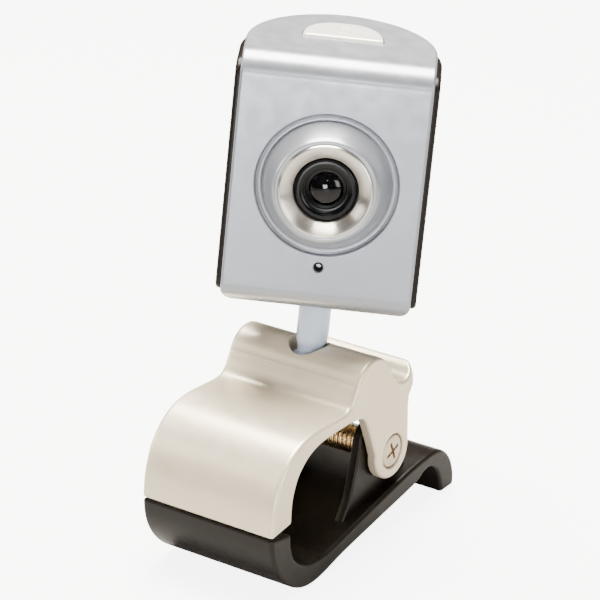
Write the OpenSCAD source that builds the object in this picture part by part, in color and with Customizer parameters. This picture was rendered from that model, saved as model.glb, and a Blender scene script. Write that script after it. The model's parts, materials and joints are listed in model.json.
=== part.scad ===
// Small webcam whose head stands on a ball-jointed stalk over a sprung clip.
// X is the width of the clip, +Y points to its rear, +Z is up and Z = 0 is the desk.

/* [Clip] */
// Width of both jaws
clip_w = 32; // [30:0.5:36]
// Height of the jaw pivot over the desk
pivot_z = 17.7; // [17.5:0.1:18]
// Thickness of each side ear of the upper jaw
ear_t = 2.4; // [2:0.1:2.8]
// Radius of the round end of each side ear
ear_r = 6; // [5.5:0.1:6.4]
// Thickness of each fin of the lower jaw
fin_t = 2; // [1.6:0.1:2.4]
// Radius of the barrel that holds the ball
barrel_r = 6; // [5.8:0.1:6.4]
// Radius of the pivot screw's head
screw_head_r = 3.5; // [3:0.1:3.6]
// Radius of the pivot screw's shank
pivot_r = 1.5; // [1.2:0.1:1.5]

/* [Stalk] */
// Radius of the ball
ball_r = 4.75; // [4.6:0.05:4.8]
// Radius of the stalk
stalk_r = 3.3; // [3:0.1:3.4]
// Radius of the round mouth that the stalk leaves through
mouth_r = 4.5; // [4.5:0.1:4.8]
// Backward tilt of the stalk, as it rests
stalk_tilt = 9.8; // [0:0.1:10]
// Turn of the head on the stalk, as it rests
head_turn = 31.5; // [0:0.5:90]

/* [Head] */
// Width of the front shell
head_w = 37.9; // [37:0.1:39]
// How far each dark cheek stands out past the front shell
cheek = 1.1; // [0.8:0.1:1.2]
// Wall of both head shells
wall = 1.8; // [1.6:0.1:2]
// Height of the lens axis over the ball
lens_h = 41; // [40:0.5:42]
// Distance of the flat front face ahead of the stalk axis
face_y = 12; // [12:0.1:12.4]
// How far the lens boss stands out of the face
boss_h = 5.2; // [4.8:0.1:5.6]
// Outer radius of the bright lens bezel
bezel_r = 9.3; // [9:0.1:9.5]
// Outer radius of the focus barrel's front rim
rim_r = 6.1; // [5.9:0.1:6.1]
// Distance of the microphone hole under the lens axis
mic_drop = 16.6; // [16:0.1:17]

/* [Hidden] */
$fn = 48;

// Place of the pivot over the centre of the whole footprint
pivot_x = -2.4;
pivot_y = 9.3;
// Gap that keeps touching surfaces of neighbouring pieces apart
touch = 0.02;
// Clearance of every running fit
run = 0.05;
// Gap between moving flat faces
side_gap = 0.4;
// Overshoot of every cutter
over = 1;

// Ball centre, relative to the pivot axis
ball_y = -7.2;
ball_z = 17.5;

fin_x = clip_w / 2 - ear_t - side_gap;

// ---------------------------------------------------------------- helpers

// Point of a Catmull-Rom curve between b and c, at t from 0 to 1
function blend(a, b, c, d, t) =
    0.5 * (2 * b + (c - a) * t + (2 * a - 5 * b + 4 * c - d) * t * t
           + (3 * b - a - 3 * c + d) * t * t * t);

// Smooth curve through every knot
function curve(knots, steps = 6) =
    let (last = len(knots) - 1)
    concat([for (i = [0 : last - 1]) for (s = [0 : steps - 1])
                blend(knots[max(i - 1, 0)], knots[i], knots[i + 1],
                      knots[min(i + 2, last)], s / steps)],
           [knots[last]]);

// Arc about c, from angle a0 to a1
function arc(c, r, a0, a1, steps = 12) =
    [for (i = [0 : steps])
        let (a = a0 + (a1 - a0) * i / steps) c + r * [cos(a), sin(a)]];

// Extrudes a side outline, drawn as (y, z), from x0 to x1
module side_plate(x0, x1)
    translate([x0, 0, 0]) rotate([90, 0, 90]) linear_extrude(x1 - x0) children();

// Cylinder along +X
module rod_x(r, x0, x1)
    translate([x0, 0, 0]) rotate([0, 90, 0]) cylinder(r = r, h = x1 - x0);

// Cylinder along Y, from y0 to y1, centred on height z
module rod_y(r, y0, y1, z = 0, x = 0)
    translate([x, y0, z]) rotate([-90, 0, 0]) cylinder(r = r, h = y1 - y0);

// Body turned about the lens axis: the outline is (radius, distance ahead of the face)
module lens_turned()
    translate([0, -face_y, lens_h]) rotate([90, 0, 0]) rotate_extrude() children();

// Places a piece drawn about the pivot axis
module at_pivot() translate([pivot_x, pivot_y, pivot_z]) children();

// Places a piece drawn about the ball centre with the stalk upright
module at_stalk() at_pivot() translate([0, ball_y, ball_z]) rotate([-stalk_tilt, 0, 0]) children();

// Places a piece drawn about the ball centre with the head facing -Y
module at_head() at_stalk() rotate([0, 0, head_turn]) children();

// ---------------------------------------------------------------- clip

// Side outline of the lower jaw: underside from the lip to the foot, then back along the top
lower_under = curve([[-42.7, -1.85], [-42.4, -5.6], [-41.3, -9], [-39.2, -12.2], [-36.4, -14.9],
                     [-33, -16.9], [-29.3, -17.68], [-25, -17.3], [-18, -15.8], [-6, -13.95],
                     [8.5, -11.7], [12, -10.3], [14.6, -10], [16.9, -11.4], [18.2, -13.7],
                     [18.8, -16.2], [18.9, -17.7]]);
lower_over = curve([[24.1, -17.7], [24, -14.3], [22.8, -11.1], [20.7, -8.7], [18, -7.3],
                    [14.5, -6.9], [9, -7.3], [2.7, -8.2], [-12, -10.8], [-22.5, -12.75],
                    [-26, -13], [-29.8, -12.6], [-32.9, -11.3], [-35, -9.1], [-36, -6.2],
                    [-36.1, -3.4]]);

// Side outline of a fin: concave front edge, round top about the pivot
fin_outline = concat(curve([[-14.5, -11.8], [-11.5, -7], [-9.3, -1], [-7.7, 5.2]]),
                     arc([0, 0], 9.3, 146, 36), [[7.6, 2], [8.4, -7.9]]);

module lower_jaw() color("#41372e") at_pivot() difference() {
    union() {
        side_plate(-clip_w / 2, clip_w / 2) polygon(concat(lower_under, lower_over));
        for (s = [-1, 1])
            side_plate(s * (fin_x - fin_t / 2) - fin_t / 2, s * (fin_x - fin_t / 2) + fin_t / 2)
                polygon(fin_outline);
    }
    rod_x(pivot_r + run, -clip_w, clip_w);
}

// Side outlines of the upper jaw, about the pivot
upper_front = curve([[-42.7, -1.75], [-42.4, 1.5], [-41.6, 5], [-39.7, 9.2], [-36.6, 12.6],
                     [-32.5, 14.9], [-27.8, 15.7], [-23, 15.5], [-18.5, 15.2], [-16, 15.6],
                     [-14.3, 17.2], [-13.1, 19.3]]);
upper_barrel = arc([ball_y, ball_z], barrel_r, 163, 60, 20);
upper_tab = curve([[-3.2, 22], [-1, 18.6], [1.2, 15.6], [3.8, 14.4], [6.2, 14.6],
                   [8.1, 15.7], [9.6, 16.2], [10.4, 15.4], [10, 13.6], [8.2, 12.1],
                   [6, 11.4]]);
upper_inside = curve([[-13, 12.4], [-18, 12.45], [-23.5, 12.4], [-26.7, 12], [-29.5, 11.1],
                      [-31.7, 9.7], [-33.7, 7.6], [-35.3, 3.9], [-35.9, -0.9]]);
cavity_r = 4.4;

// One rounded rear corner of the thumb tab, cut away
module tab_corner(s) {
    corner_r = 5;
    tip_y = 10.5;
    mirror([s > 0 ? 0 : 1, 0, 0]) difference() {
        translate([clip_w / 2 - corner_r, tip_y - corner_r, 10]) cube([2 * corner_r, 2 * corner_r, 10]);
        translate([clip_w / 2 - corner_r, tip_y - corner_r, 9]) cylinder(r = corner_r, h = 12);
    }
}

module upper_jaw() color("#d9d2c6") at_pivot() difference() {
    union() {
        side_plate(-clip_w / 2, clip_w / 2)
            polygon(concat(upper_front, upper_barrel, upper_tab, upper_inside));
        for (s = [-1, 1])
            side_plate(s * (clip_w - ear_t) / 2 - ear_t / 2, s * (clip_w - ear_t) / 2 + ear_t / 2)
                polygon(concat([[-13, 12.5], [-9.6, 10.5]], arc([0, 0], ear_r, 173, 360, 24),
                               [[ear_r, 11.5], [ear_r, 13], [-13, 13]]));
        translate([0, ball_y, boss_z]) cylinder(r = boss_r, h = 3);
    }
    // hollow of the barrel, either side of the ball boss
    difference() {
        side_plate(-fin_x - side_gap, fin_x + side_gap)
            polygon(concat([[ball_y - cavity_r, 11]], arc([ball_y, ball_z], cavity_r, 180, 0, 16),
                           [[ball_y + cavity_r, 11]]));
        translate([0, ball_y, 0]) cylinder(r = boss_r, h = 40);
    }
    for (s = [-1, 1]) tab_corner(s);
    translate([0, ball_y, ball_z]) sphere(r = ball_r + run);
    translate([0, ball_y, boss_z - over]) cylinder(r = cup_bore_r, h = ball_z - boss_z + over);
    translate([0, ball_y, ball_z]) cylinder(r = lip_r, h = 5);
    translate([0, ball_y, ball_z + lip_z]) cylinder(r1 = lip_r, r2 = mouth_r, h = barrel_r - lip_z);
    translate([0, ball_y, ball_z + barrel_r - touch]) cylinder(r = mouth_r, h = 5);
    for (s = [-1, 1])
        translate([s * tie_x, ball_y, boss_z - over]) cylinder(r = tie_r + touch, h = tie_l);
    rod_x(pivot_r + touch, -clip_w, clip_w);
    rod_x(screw_head_r + 0.25, clip_w / 2 - head_sink, clip_w);
    translate([-clip_w / 2 - over, 0, 0]) rotate([0, 90, 0])
        cylinder(r = nut_r + touch, h = over + nut_sink, $fn = 6);
}

// Pivot screw: head in the +X ear, hexagonal nut in the -X ear
head_sink = 1.2;
nut_r = 3.1;
nut_sink = 1.5;

module pivot_screw() color("#b9a583") at_pivot() difference() {
    crown = 0.25;
    union() {
        rod_x(pivot_r, -clip_w / 2 + 0.2, clip_w / 2 - head_sink + touch);
        rod_x(screw_head_r, clip_w / 2 - head_sink + touch, clip_w / 2 - crown);
        translate([clip_w / 2 - crown, 0, 0]) rotate([0, 90, 0])
            cylinder(r1 = screw_head_r, r2 = screw_head_r - 0.4, h = crown);
    }
    for (a = [20, 110])
        translate([clip_w / 2 - 0.8, 0, 0]) rotate([a, 0, 0]) cube([3, 3.4, 0.7], center = true);
}

module pivot_nut() color("#8f8a80") at_pivot() difference() {
    translate([-clip_w / 2, 0, 0]) rotate([0, 90, 0])
        cylinder(r = nut_r, h = nut_sink - touch, $fn = 6);
    rod_x(pivot_r + touch, -clip_w, 0);
}

// Torsion spring: tight coil about the pivot, one leg under the tab, one on the lower jaw
wire_r = 0.5;
coil_r = 2.5;
coil_half = 8;
coil_turns = 15;
leg_a = 68;
leg_b = -43;
leg_reach_a = 10.2;
leg_reach_b = 8;

function coil_point(t) =
    let (a = leg_a + 90 + t * (coil_turns * 360 + leg_b - leg_a + 180))
    [coil_half * (2 * t - 1), coil_r * cos(a), coil_r * sin(a)];

module wire_tube(path, sides = 6) {
    count = len(path);
    rings = [for (i = [0 : count - 1])
        let (dir = path[min(i + 1, count - 1)] - path[max(i - 1, 0)],
             t = dir / norm(dir),
             u0 = cross(t, [0.9, 0.3, 0.31]),
             u = u0 / norm(u0),
             v = cross(t, u))
        for (k = [0 : sides - 1])
            path[i] + wire_r * (cos(360 * k / sides) * u + sin(360 * k / sides) * v)];
    walls = [for (i = [0 : count - 2]) for (k = [0 : sides - 1])
        let (a = i * sides + k, b = i * sides + (k + 1) % sides)
        [a, b, b + sides, a + sides]];
    caps = [[for (k = [sides - 1 : -1 : 0]) k],
            [for (k = [0 : sides - 1]) (count - 1) * sides + k]];
    polyhedron(rings, concat(walls, caps));
}

module torsion_spring() color("#b08a4c") at_pivot() {
    coil_steps = coil_turns * 16;
    start = coil_point(0);
    finish = coil_point(1);
    wire_tube(concat(
        [start + leg_reach_a * [0, cos(leg_a), sin(leg_a)]],
        [for (i = [0 : coil_steps]) coil_point(i / coil_steps)],
        [finish + leg_reach_b * [0, cos(leg_b), sin(leg_b)]]));
}

// ---------------------------------------------------------------- ball joint

// Lip that keeps the ball in, inside the round mouth
lip_r = 4;
lip_z = 2.4;
boss_r = 7.8;
boss_z = 10;
cup_bore_r = 5.45;
cup_r = 5.35;
cup_rim_z = -2.3;
tie_x = 6.6;
tie_r = 0.6;
tie_l = 5;
flange_t = 1.2;

module ball_cup() color("#e8e6df") at_pivot() translate([0, ball_y, ball_z]) difference() {
    sphere(r = cup_r);
    sphere(r = ball_r + run);
    translate([-10, -10, cup_rim_z]) cube([20, 20, 20]);
    translate([0, 0, -10]) cylinder(r = 1.5, h = 10);
}

module ball_retainer() color("#3b342d") at_pivot() translate([0, ball_y, 0]) difference() {
    union() {
        translate([0, 0, boss_z]) cylinder(r = cup_bore_r - touch, h = 4.2);
        translate([0, 0, boss_z - flange_t]) cylinder(r = boss_r, h = flange_t - touch);
    }
    translate([0, 0, ball_z]) sphere(r = cup_r + run);
    for (s = [-1, 1])
        translate([s * tie_x, 0, 0]) cylinder(r = tie_r + touch, h = 20);
    translate([0, 0, 0]) cylinder(r = 1.5, h = 20);
}

module retainer_screws() color("#77736b") at_pivot()
    for (s = [-1, 1]) translate([s * tie_x, ball_y, 0]) difference() {
        union() {
            translate([0, 0, boss_z - flange_t]) cylinder(r = tie_r, h = tie_l);
            translate([0, 0, boss_z - flange_t - 0.9]) cylinder(r = 1.15, h = 0.9 - touch);
        }
        for (a = [0, 90])
            translate([0, 0, boss_z - flange_t - 0.9]) rotate([0, 0, a])
                cube([1.5, 0.35, 0.7], center = true);
    }

// Stalk: ball, neck, post, and a spigot that the head turns on
shoulder_z = 18.2;
spigot_r = 2.4;
spigot_top = 24.5;
clip_z = 22.6;
clip_t = 0.6;
washer_t = 0.6;

module stalk() color("#dfe6f2") at_stalk() rotate_extrude()
    polygon(concat([[0, -ball_r]], arc([0, 0], ball_r, -90, 57, 20),
                   [[2.9, 4.9], [stalk_r, 6.1], [stalk_r, shoulder_z], [spigot_r, shoulder_z],
                    [spigot_r, clip_z], [spigot_r - 0.6, clip_z],
                    [spigot_r - 0.6, clip_z + clip_t + touch],
                    [spigot_r, clip_z + clip_t + touch], [spigot_r, spigot_top], [0, spigot_top]]));

module stalk_washer() color("#2c2c2c") at_stalk() difference() {
    translate([0, 0, clip_z - washer_t - touch]) cylinder(r = 3.9, h = washer_t);
    cylinder(r = spigot_r + touch, h = 40);
}

module stalk_clip() color("#9b9890") at_stalk() difference() {
    translate([0, 0, clip_z]) cylinder(r = 3.6, h = clip_t);
    cylinder(r = spigot_r - 0.6 + touch, h = 40);
    translate([0, -1.3, clip_z - over]) cube([10, 2.6, 5]);
}

// ---------------------------------------------------------------- head shells

base_z = 15.2;
top_z = 65.2;
top_slope = 12;
back_y = 13;
plan_mid = -2;
edge_r = 4;
brow_r = 5;

// Height of the sloping top at depth y
function roof(y) = top_z + (y + face_y) * tan(top_slope);

// Plan of the head: straight front, elliptical back, grown by g on the sides and back
function plan(g) =
    let (a = head_w / 2 + g, b = back_y - plan_mid + g)
    concat([[-a, -face_y + g], [a, -face_y + g]],
           [for (i = [0 : 36]) [a * cos(i * 5), plan_mid + b * sin(i * 5)]]);

// Side outline of the silver band, shrunk by w inside its outer face
function band_side(w) =
    let (front = -face_y + w, low = base_z + w, r = edge_r - w, q = brow_r - w)
    concat([[30, low]],
           [for (p = arc([front + r, low + r], r, 270, 180, 8)) p],
           [for (p = arc([front + q, roof(front) - w / cos(top_slope) - q * 0.8], q, 180, 102, 8)) p],
           [[30, roof(30) - w / cos(top_slope)]]);

// Upright prism over a plan of the head
module over_plan() translate([0, 0, -10]) linear_extrude(120) children();

// Outline of the raised lens boss: ring groove, dome and bezel seat
boss_outer = 14;
boss_top = 9.9;
dome = curve([[12.9, -0.8], [12.3, 0.5], [11.4, 2.6], [10.6, 4.4], [boss_top, boss_h]], 5);

module front_shell() color("#cfd0d4") at_head() difference() {
    union() {
        intersection() {
            difference() {
                side_plate(-head_w / 2, head_w / 2) polygon(band_side(0));
                side_plate(-head_w, head_w) polygon(band_side(wall));
            }
            over_plan() polygon(plan(0));
        }
        lens_turned() polygon(concat([[0, -wall - 1.2], [boss_outer, -wall - 1.2],
                                      [boss_outer, -0.1], [13.3, -0.45], [12.9, -0.8]], dome,
                                     [[0, boss_h]]));
        translate([0, 0, base_z + 0.2]) cylinder(r = collar_r, h = collar_top - base_z - 0.2);
        rod_y(mic_r + 1.2, -face_y + 0.5, -face_y + 4.4, lens_h - mic_drop);
        for (s = [-1, 1]) for (z = case_z)
            rod_y(post_r, -face_y + 0.5, split_y - touch, z, s * case_x);
    }
    groove_cut();
    lens_turned() polygon([[0, -10], [seat_r, -10], [seat_r, boss_h - 4.2],
                           [bezel_r + touch, boss_h - 4.2], [bezel_r + touch, boss_h + over],
                           [0, boss_h + over]]);
    rod_y(mic_hole_r, -face_y - over, -face_y + 4, lens_h - mic_drop);
    rod_y(mic_r + touch, -face_y + wall, -face_y + 10, lens_h - mic_drop);
    for (s = [-1, 1]) for (z = case_z) rod_y(case_screw_r + touch, screw_tip_y - 1, 30, z, s * case_x);
    translate([0, 0, base_z - 5]) cylinder(r = stalk_r + 0.25, h = shoulder_z - base_z + 5.1);
    cylinder(r = spigot_r + run, h = 40);
    button_slot(0.15);
}

seat_r = 8.4;
collar_r = 5.2;
collar_top = 21.8;
// Posts that the case screws pull together, split at this depth
split_y = 2.5;
post_r = 2.1;
case_screw_r = 1;
case_head_r = 1.8;
case_x = 13.6;
case_z = [28, 56];
screw_tip_y = -5;
head_seat_y = 7.2;
mic_hole_r = 0.95;
mic_r = 3;

// Turned groove that sets the boss off from the flat face
module groove_cut() lens_turned()
    polygon([[12.95, -0.75], [13.3, -0.45], [13.5, -0.4], [14.1, 0.02], [14.1, over], [12.3, over],
             [12.35, 0.5]]);

// Plan of the snapshot button: straight front edge, arched back, grown by g
button_half = 8.05;
button_depth = 7.4;
button_y = 0.5;
function arched(c) = sign(c) * pow(abs(c), 0.83);
module button_plan(g)
    polygon(concat([for (i = [0 : 24])
                        [(button_half + g) * arched(cos(i * 7.5)),
                         button_y + (button_depth + g) * arched(sin(i * 7.5))]],
                   [[-button_half - g, button_y - g], [button_half + g, button_y - g]]));
module button_slot(g)
    translate([0, 0, roof(0) - 8]) linear_extrude(20) button_plan(g);

module rear_shell() color("#453b33") at_head() difference() {
    union() {
        intersection() {
            cheek_side();
            over_plan() difference() {
                polygon(plan(cheek));
                polygon(plan(cheek - wall));
                translate([-head_w / 2 - touch, -face_y - over]) square([head_w + 2 * touch, 6]);
            }
        }
        intersection() {
            over_plan() polygon(plan(cheek - over));
            for (s = [-1, 1]) for (z = case_z) rod_y(post_r, split_y, 20, z, s * case_x);
        }
    }
    rod_y(inlet_r, 0, 40, inlet_z);
    for (s = [-1, 1]) for (z = case_z) {
        rod_y(case_screw_r + touch, 0, 40, z, s * case_x);
        rod_y(case_head_r + 0.15, head_seat_y, 40, z, s * case_x);
    }
}

inlet_r = 2.6;
inlet_z = base_z + 7;

// Side outline of the dark cheeks, between the two silver caps
module cheek_side() {
    low = base_z + wall + touch;
    front = -face_y + 0.9;
    side_plate(-40, 40)
        polygon([[front, low + 2.2], [front + 0.7, low + 0.7], [front + 2.2, low], [30, low],
                 [30, roof(30) - wall - 0.1], [front + 2.2, roof(front + 2.2) - wall - 0.1],
                 [front + 0.7, roof(front + 0.7) - wall - 0.8],
                 [front, roof(front) - wall - 2.2]]);
}

module case_screws() color("#5c5a56") at_head()
    for (s = [-1, 1]) for (z = case_z) difference() {
        union() {
            rod_y(case_screw_r, screw_tip_y, head_seat_y + 0.1, z, s * case_x);
            rod_y(case_head_r, head_seat_y + touch, head_seat_y + 1.2, z, s * case_x);
        }
        for (a = [0, 90])
            translate([s * case_x, head_seat_y + 1.2, z]) rotate([0, a, 0])
                cube([2.2, 1.2, 0.45], center = true);
    }

module cable_grommet() color("#26231f") at_head() difference() {
    union() {
        rod_y(inlet_r - touch, back_y - 3, back_y + 1.6, inlet_z);
        rod_y(inlet_r + 1, back_y - 3, back_y - 1.4, inlet_z);
    }
    rod_y(1.6, 0, 40, inlet_z);
}

// ---------------------------------------------------------------- optics

bezel_back = boss_h - 4;
// Inner edge of the bezel's bright cone
bezel_low = boss_h - 1.4;

module lens_bezel() color("#c9cacb") at_head() lens_turned()
    polygon([[bezel_r, bezel_back], [bezel_r, boss_h + 0.25], [bezel_r - 0.45, boss_h + 0.45],
             [bezel_r - 0.9, boss_h + 0.25], [rim_r + 0.35, bezel_low],
             [rim_r + 0.35, bezel_back]]);

barrel_back = -6.2;
thread_r = 5.2;

module lens_barrel() color("#141414") at_head() lens_turned()
    polygon([[cell_r + run, barrel_back], [thread_r, barrel_back], [thread_r, 0.6],
             [rim_r, 0.9], [rim_r, 3.1], [rim_r - 0.5, 3.6], [5, 3.6], [4.7, 2.9],
             [4.2, 2.6], [cell_r + run, 2.2]]);

cell_r = 3.4;
module front_lens() color([0.2, 0.22, 0.3, 0.6]) at_head() lens_turned()
    polygon(concat([[0, 0.2], [cell_r, 0.6], [cell_r, 2]],
                   [for (i = [1 : 10]) [cell_r * cos(i * 9), 2 + 1.35 * sin(i * 9)]]));

module rear_lens() color([0.25, 0.3, 0.35, 0.6]) at_head() lens_turned()
    polygon(concat([[0, -4.6]], [[cell_r, -4], [cell_r, -2.4]],
                   [for (i = [1 : 6]) [cell_r * cos(i * 15), -2.4 + 0.7 * sin(i * 15)]]));

board_y = 0.2;
board_t = 1.2;
holder_half = 7;
lug_x = 9;
board_screw_r = 0.8;
board_half = 11;
board_z = 26.5;

module lens_holder() color("#1c1c1c") at_head() difference() {
    union() {
        translate([-holder_half, -4.6, lens_h - holder_half])
            cube([2 * holder_half, board_y + 4.6 - touch, 2 * holder_half]);
        translate([-lug_x - 1.8, -3, lens_h - 2]) cube([2 * lug_x + 3.6, board_y + 3 - touch, 4]);
        rod_y(7, -face_y + 1.4, -4.5, lens_h);
    }
    rod_y(thread_r + run, -30, -4, lens_h);
    translate([-4.5, -4.2, lens_h - 4.5]) cube([9, 10, 9]);
    for (s = [-1, 1]) rod_y(board_screw_r + touch, -2.6, 2, lens_h, s * lug_x);
}

module ir_filter() color([0.5, 0.7, 0.65, 0.5]) at_head()
    translate([-4.4, -4.15, lens_h - 4.4]) cube([8.8, 0.6, 8.8]);

module image_sensor() color("#3b3f38") at_head()
    translate([-4, board_y - 1.2, lens_h - 4]) cube([8, 1.2 - touch, 8]);

module circuit_board() color("#2e6b3c") at_head() difference() {
    translate([-board_half, board_y, board_z]) cube([2 * board_half, board_t, 36]);
    for (s = [-1, 1]) rod_y(board_screw_r + touch, -20, 20, lens_h, s * lug_x);
}

module board_screws() color("#8b8880") at_head()
    for (s = [-1, 1]) difference() {
        union() {
            rod_y(board_screw_r, -2.4, board_y + board_t + 0.1, lens_h, s * lug_x);
            rod_y(1.4, board_y + board_t + touch, board_y + board_t + 1, lens_h, s * lug_x);
        }
        for (a = [0, 90])
            translate([s * lug_x, board_y + board_t + 1, lens_h]) rotate([0, a, 0])
                cube([1.8, 1, 0.4], center = true);
    }

module controller_chip() color("#1a1a1a") at_head()
    translate([-5, board_y + board_t + touch, lens_h - 5]) cube([10, 1.1, 10]);

// ---------------------------------------------------------------- button and microphone

module snapshot_button() color("#ddd3c2") at_head() {
    intersection() {
        translate([0, 0, roof(0) - 4]) linear_extrude(20) button_plan(0);
        side_plate(-20, 20) polygon([[-5, roof(-5) - 2.2], [20, roof(20) - 2.2],
                                     [20, roof(20) + 0.5], [-5, roof(-5) + 0.5]]);
    }
    translate([0, stem_y, stem_z]) cylinder(r = 1.2, h = roof(0) - 2 - stem_z);
}

// Stem under the button, and the switch that it presses
stem_y = 3.2;
stem_z = 61.5;
press = 0.6;
module snapshot_switch() color("#23221f") at_head() {
    translate([-3, board_y + board_t + touch, stem_z - press - 4.5]) cube([6, 3.8, 3.8]);
    translate([0, stem_y, stem_z - press - 0.8]) cylinder(r = 1.1, h = 0.75);
}

module microphone() color("#a9a9a4") at_head()
    rod_y(mic_r - 0.6, -face_y + 2.2, -face_y + 4.8, lens_h - mic_drop);

module microphone_boot() color("#2b2926") at_head() difference() {
    union() {
        rod_y(mic_r, -face_y + wall + 0.1, -face_y + 5, lens_h - mic_drop);
        rod_y(mic_hole_r - touch, -face_y + 0.4, -face_y + wall + 0.2, lens_h - mic_drop);
    }
    rod_y(mic_r - 0.6 + touch, -face_y + 2.1, -face_y + 6, lens_h - mic_drop);
    rod_y(0.6, -face_y, -face_y + 4, lens_h - mic_drop);
}

lower_jaw();
upper_jaw();
pivot_screw();
pivot_nut();
torsion_spring();
ball_retainer();
retainer_screws();
ball_cup();
stalk();
stalk_washer();
stalk_clip();
front_shell();
rear_shell();
case_screws();
cable_grommet();
lens_bezel();
lens_barrel();
front_lens();
rear_lens();
lens_holder();
ir_filter();
image_sensor();
circuit_board();
board_screws();
controller_chip();
snapshot_button();
snapshot_switch();
microphone();
microphone_boot();
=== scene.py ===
import json
import math

import bmesh
import bpy
import numpy as np
from bpy.props import FloatProperty, FloatVectorProperty, IntProperty, PointerProperty
from mathutils import Matrix, Vector


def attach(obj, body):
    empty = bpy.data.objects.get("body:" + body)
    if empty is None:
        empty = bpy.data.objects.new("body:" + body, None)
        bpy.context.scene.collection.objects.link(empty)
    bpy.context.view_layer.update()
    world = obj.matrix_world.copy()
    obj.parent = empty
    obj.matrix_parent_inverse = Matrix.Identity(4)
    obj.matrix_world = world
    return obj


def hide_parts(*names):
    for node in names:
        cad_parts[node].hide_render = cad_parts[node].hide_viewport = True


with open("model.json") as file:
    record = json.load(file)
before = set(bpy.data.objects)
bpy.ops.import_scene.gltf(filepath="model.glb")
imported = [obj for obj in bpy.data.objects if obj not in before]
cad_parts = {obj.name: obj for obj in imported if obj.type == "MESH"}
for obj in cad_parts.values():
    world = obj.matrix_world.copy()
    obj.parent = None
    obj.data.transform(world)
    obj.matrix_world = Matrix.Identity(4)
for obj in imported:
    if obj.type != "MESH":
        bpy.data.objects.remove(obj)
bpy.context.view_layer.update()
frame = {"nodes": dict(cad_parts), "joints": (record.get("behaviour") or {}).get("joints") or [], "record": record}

bl_info = {
    "name": "Clip Webcam Builder",
    "version": (1, 0, 0),
    "blender": (4, 5, 0),
    "location": "View3D > Sidebar > Webcam",
    "description": "Builds the finished surfaces of a webcam on a sprung clip stand",
    "category": "Add Mesh",
}

MM = 0.001
JOINTS = {joint["name"]: joint for joint in frame["joints"]}

# ------------------------------------------------------------------ places
# Every piece is drawn in millimetres in one of three local frames and carried into the
# row frame: the clip's frame stands at the jaw pivot, the stalk's and the head's at the ball.

PIVOT = np.array(JOINTS["jaw_hinge"]["pos_m"]) / MM
BALL = np.array(JOINTS["head_swivel"]["pos_m"]) / MM
STALK_UP = np.array(JOINTS["head_swivel"]["axis"])
LENS_OUT = np.array(JOINTS["focus_turn"]["axis"])
LENS_POINT = np.array(JOINTS["focus_turn"]["pos_m"]) / MM
BARREL_AXIS = np.array(JOINTS["ball_tilt"]["axis"])

CLIP_FRAME = (np.eye(3), PIVOT)
STALK_FRAME = (np.column_stack([BARREL_AXIS, np.cross(STALK_UP, BARREL_AXIS), STALK_UP]), BALL)
HEAD_FRAME = (np.column_stack([np.cross(-LENS_OUT, STALK_UP), -LENS_OUT, STALK_UP]), BALL)

# Height of the lens axis over the ball, and the depth of the flat face ahead of it
LENS_HEIGHT = float((LENS_POINT - BALL) @ STALK_UP)
FACE_DEPTH = float((LENS_POINT - BALL) @ LENS_OUT)


def place(points, local):
    """Points in millimetres in a local frame, as metres in the row frame."""
    axes, origin = local
    return (np.asarray(points, float) @ axes.T + origin) * MM


# ------------------------------------------------------------------ curves


def smooth_curve(knots, steps=10):
    """Catmull-Rom curve through every knot: a cubic between neighbours with mean slopes."""
    knots = np.asarray(knots, float)
    ends = np.vstack([knots[:1], knots, knots[-1:]])
    t = np.linspace(0, 1, steps, endpoint=False)[None, :, None]
    a, b, c, d = (ends[i : len(knots) - 1 + i][:, None, :] for i in range(4))
    body = 0.5 * (2 * b + (c - a) * t + (2 * a - 5 * b + 4 * c - d) * t**2
                  + (3 * b - a - 3 * c + d) * t**3)
    return np.vstack([body.reshape(-1, knots.shape[1]), knots[-1:]])


def arc(centre, radius, start, end, steps=16):
    """Points on a circle about centre, from angle start to angle end in degrees."""
    a = np.radians(np.linspace(start, end, steps + 1))
    return np.array(centre) + radius * np.column_stack([np.cos(a), np.sin(a)])


def outward(outline):
    """Unit normals of a closed counter-clockwise outline: its central differences turned right."""
    along = np.roll(outline, -1, 0) - np.roll(outline, 1, 0)
    normal = np.column_stack([along[:, 1], -along[:, 0]])
    return normal / np.linalg.norm(normal, axis=1)[:, None]


def counter_clockwise(outline):
    """The same closed outline with its area on the left of its direction."""
    x, y = outline.T
    area = np.sum(x * np.roll(y, -1) - np.roll(x, -1) * y)
    return outline if area > 0 else outline[::-1]


# ------------------------------------------------------------------ meshes

# Edges sharper than this many degrees stay crisp, and points closer than WELD metres are merged
CREASE_ANGLE, WELD = 35.0, 2e-6


def grid_faces(rows, columns, wrap_rows=False, wrap_columns=False):
    """Four-sided faces between neighbours of a rows by columns grid of points."""
    i = np.arange(rows if wrap_rows else rows - 1)
    j = np.arange(columns if wrap_columns else columns - 1)
    i, j = np.meshgrid(i, j, indexing="ij")
    down, right = (i + 1) % rows, (j + 1) % columns
    corners = [i * columns + j, down * columns + j, down * columns + right, i * columns + right]
    return np.stack(corners, -1).reshape(-1, 4)


def capped_faces(rows, columns):
    """Faces of a tube of rows rings, with one face over each end."""
    faces = [list(face) for face in grid_faces(rows, columns, wrap_columns=True)]
    last = (rows - 1) * columns
    return [*faces, list(range(columns)), list(range(last, last + columns))[::-1]]


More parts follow.
